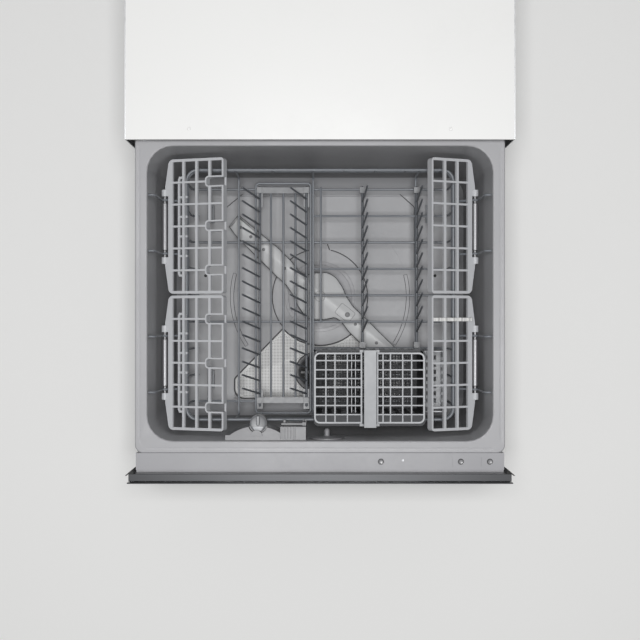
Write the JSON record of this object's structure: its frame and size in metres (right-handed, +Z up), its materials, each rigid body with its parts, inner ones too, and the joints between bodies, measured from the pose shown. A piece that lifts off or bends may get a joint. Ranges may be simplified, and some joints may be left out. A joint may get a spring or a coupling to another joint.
{
  "type": "dishwasher drawer",
  "caption": "Built-in dishwasher drawer standing open: cabinet with runners and a dropping lid, moulded tub, wire basket, folding cup racks and tines, spray arm.",
  "frame": {"origin": "centre of the cabinet's underside", "axes": "+X to the right seen from the front, -Y out of the front, the way the drawer opens, +Z up"},
  "size_m": [0.598, 1.0995, 0.41],
  "materials": {
    "zinc_sheet": "zinc-coated sheet, satin",
    "pale_top": "pale coated sheet, satin",
    "runner_steel": "rolled steel, satin",
    "dark_plastic": "moulded, fine grain",
    "lid_plastic": "moulded, satin",
    "black_rubber": "soft, matt",
    "tub_plastic": "moulded polypropylene, satin",
    "strip_plastic": "fine satin",
    "lens_clear": "frosted clear",
    "front_graphite": "dark brushed, lacquered",
    "sump_plastic": "moulded, satin",
    "motor_casing": "cast, satin",
    "filter_steel": "perforated stainless, bright",
    "dispenser_plastic": "moulded, satin",
    "basket_wire": "nylon-coated wire, satin",
    "bright_sleeve": "bright drawn tube",
    "clip_plastic": "moulded, satin",
    "rack_plastic": "moulded, satin",
    "comb_plastic": "moulded, satin",
    "handle_plastic": "moulded, satin",
    "key_plastic": "moulded, satin",
    "arm_plastic": "moulded, satin"
  },
  "bodies": {
    "cabinet": {"housing_base": "zinc_sheet", "housing_side_left": "zinc_sheet", "housing_side_right": "zinc_sheet", "housing_back": "zinc_sheet", "housing_top": "pale_top", "runner_outer_left": "runner_steel", "runner_outer_right": "runner_steel", "lid_guides": "dark_plastic", "lid_drives": "dark_plastic", "inlet_valve": "dark_plastic"},
    "lid": {"lid_panel": "lid_plastic", "lid_seal": "black_rubber"},
    "middle_left": {"runner_middle_left": "runner_steel"},
    "middle_right": {"runner_middle_right": "runner_steel"},
    "drawer": {"tub": "tub_plastic", "runner_inner_left": "runner_steel", "runner_inner_right": "runner_steel", "control_strip": "strip_plastic", "indicator_lens": "lens_clear", "drawer_front": "front_graphite", "front_gasket": "black_rubber", "sump": "sump_plastic", "wash_motor": "motor_casing", "drain_pump": "dark_plastic", "filter_plate": "filter_steel", "dispenser_body": "dispenser_plastic", "vent_cap": "dispenser_plastic", "basket_floor": "basket_wire", "basket_feet": "basket_wire", "basket_side_left": "basket_wire", "basket_side_right": "basket_wire", "basket_front": "basket_wire", "basket_back": "basket_wire", "hangers_left": "basket_wire", "hangers_right": "basket_wire", "rack_axles": "bright_sleeve", "tine_clips": "clip_plastic", "cutlery_caddy": "rack_plastic"},
    "power_key": {"power_button": "key_plastic"},
    "select_key": {"select_button": "key_plastic"},
    "start_key": {"start_button": "key_plastic"},
    "drain_cup": {"drain_filter": "dark_plastic"},
    "flap": {"dispenser_flap": "dispenser_plastic"},
    "cap": {"rinse_cap": "clip_plastic"},
    "arm": {"spray_arm": "arm_plastic"},
    "rack_left_back": {"cup_rack_left_back": "rack_plastic", "rack_step_left_back": "rack_plastic"},
    "rack_left_front": {"cup_rack_left_front": "rack_plastic", "rack_step_left_front": "rack_plastic"},
    "rack_right_back": {"cup_rack_right_back": "rack_plastic"},
    "rack_right_front": {"cup_rack_right_front": "rack_plastic", "utensil_comb": "comb_plastic"},
    "tines_far_left": {"tine_row_far_left": "basket_wire"},
    "tines_mid_left": {"tine_row_mid_left": "basket_wire"},
    "tines_mid_right": {"tine_row_mid_right": "basket_wire"},
    "tines_far_right": {"tine_row_far_right": "basket_wire"},
    "cutlery": {"cutlery_basket": "rack_plastic", "cutlery_handle": "handle_plastic"},
    "cutlery_left": {"cutlery_lid_left": "rack_plastic"},
    "cutlery_right": {"cutlery_lid_right": "rack_plastic"}
  },
  "joints": [
    {"name": "drawer_slide", "type": "slide", "parent": "cabinet", "child": "drawer", "axis": [0, -1, 0], "range_m": [-0.51, 0]},
    {"name": "middle_left_slide", "type": "slide", "parent": "cabinet", "child": "middle_left", "axis": [0, -1, 0], "range_m": [-0.255, 0]},
    {"name": "middle_right_slide", "type": "slide", "parent": "cabinet", "child": "middle_right", "axis": [0, -1, 0], "range_m": [-0.255, 0]},
    {"name": "lid_drop", "type": "slide", "parent": "cabinet", "child": "lid", "axis": [0, 0, 1], "range_m": [-0.003, 0]},
    {"name": "power_press", "type": "slide", "parent": "drawer", "child": "power_key", "axis": [0, 0, 1], "range_m": [-0.0008, 0], "stiffness_N_per_m": 1500, "springref_m": 0.0008},
    {"name": "select_press", "type": "slide", "parent": "drawer", "child": "select_key", "axis": [0, 0, 1], "range_m": [-0.0008, 0], "stiffness_N_per_m": 1500, "springref_m": 0.0008},
    {"name": "start_press", "type": "slide", "parent": "drawer", "child": "start_key", "axis": [0, 0, 1], "range_m": [-0.0008, 0], "stiffness_N_per_m": 1500, "springref_m": 0.0008},
    {"name": "drain_cup_turn", "type": "hinge", "parent": "drawer", "child": "drain_cup", "pos_m": [-0.01, -0.6427, 0.1], "axis": [0, 0, 1], "range_deg": [0, 60]},
    {"name": "flap_open", "type": "hinge", "parent": "drawer", "child": "flap", "pos_m": [-0.025, -0.7151, 0.32], "axis": [0, 0, -1], "range_deg": [0, 95]},
    {"name": "cap_turn", "type": "hinge", "parent": "drawer", "child": "cap", "pos_m": [-0.097, -0.7132, 0.355], "axis": [0, 0, -1], "range_deg": [0, 90]},
    {"name": "arm_turn", "type": "hinge", "parent": "drawer", "child": "arm", "pos_m": [0, -0.50995, 0.14], "axis": [0, 0, 1], "continuous": true},
    {"name": "rack_left_back_fold", "type": "hinge", "parent": "drawer", "child": "rack_left_back", "pos_m": [-0.252, -0.3997, 0.284], "axis": [0, -1, 0], "range_deg": [0, 42]},
    {"name": "rack_left_front_fold", "type": "hinge", "parent": "drawer", "child": "rack_left_front", "pos_m": [-0.252, -0.6202, 0.284], "axis": [0, -1, 0], "range_deg": [0, 42]},
    {"name": "rack_right_back_fold", "type": "hinge", "parent": "drawer", "child": "rack_right_back", "pos_m": [0.252, -0.3997, 0.284], "axis": [0, 1, 0], "range_deg": [0, 54]},
    {"name": "rack_right_front_fold", "type": "hinge", "parent": "drawer", "child": "rack_right_front", "pos_m": [0.252, -0.6202, 0.284], "axis": [0, 1, 0], "range_deg": [0, 54]},
    {"name": "tines_far_left_fold", "type": "hinge", "parent": "drawer", "child": "tines_far_left", "pos_m": [-0.102, -0.46, 0.1941], "axis": [0, -1, 0], "range_deg": [0, 62]},
    {"name": "tines_mid_left_fold", "type": "hinge", "parent": "drawer", "child": "tines_mid_left", "pos_m": [-0.023, -0.46, 0.1941], "axis": [0, -1, 0], "range_deg": [0, 62]},
    {"name": "tines_mid_right_fold", "type": "hinge", "parent": "drawer", "child": "tines_mid_right", "pos_m": [0.072, -0.46, 0.1941], "axis": [0, -1, 0], "range_deg": [0, 88]},
    {"name": "tines_far_right_fold", "type": "hinge", "parent": "drawer", "child": "tines_far_right", "pos_m": [0.164, -0.46, 0.1941], "axis": [0, -1, 0], "range_deg": [0, 86]},
    {"name": "cutlery_lift", "type": "slide", "parent": "drawer", "child": "cutlery", "axis": [0, 0, 1], "range_m": [0, 0.2]},
    {"name": "cutlery_left_open", "type": "hinge", "parent": "cutlery", "child": "cutlery_left", "pos_m": [0.0662, -0.66, 0.3225], "axis": [0, 1, 0], "range_deg": [0, 88]},
    {"name": "cutlery_right_open", "type": "hinge", "parent": "cutlery", "child": "cutlery_right", "pos_m": [0.0918, -0.66, 0.3225], "axis": [0, -1, 0], "range_deg": [0, 88]}
  ],
  "couplings": [
    {"joint": "middle_left_slide", "follows": "drawer_slide", "ratio": 0.5},
    {"joint": "middle_right_slide", "follows": "drawer_slide", "ratio": 0.5}
  ]
}
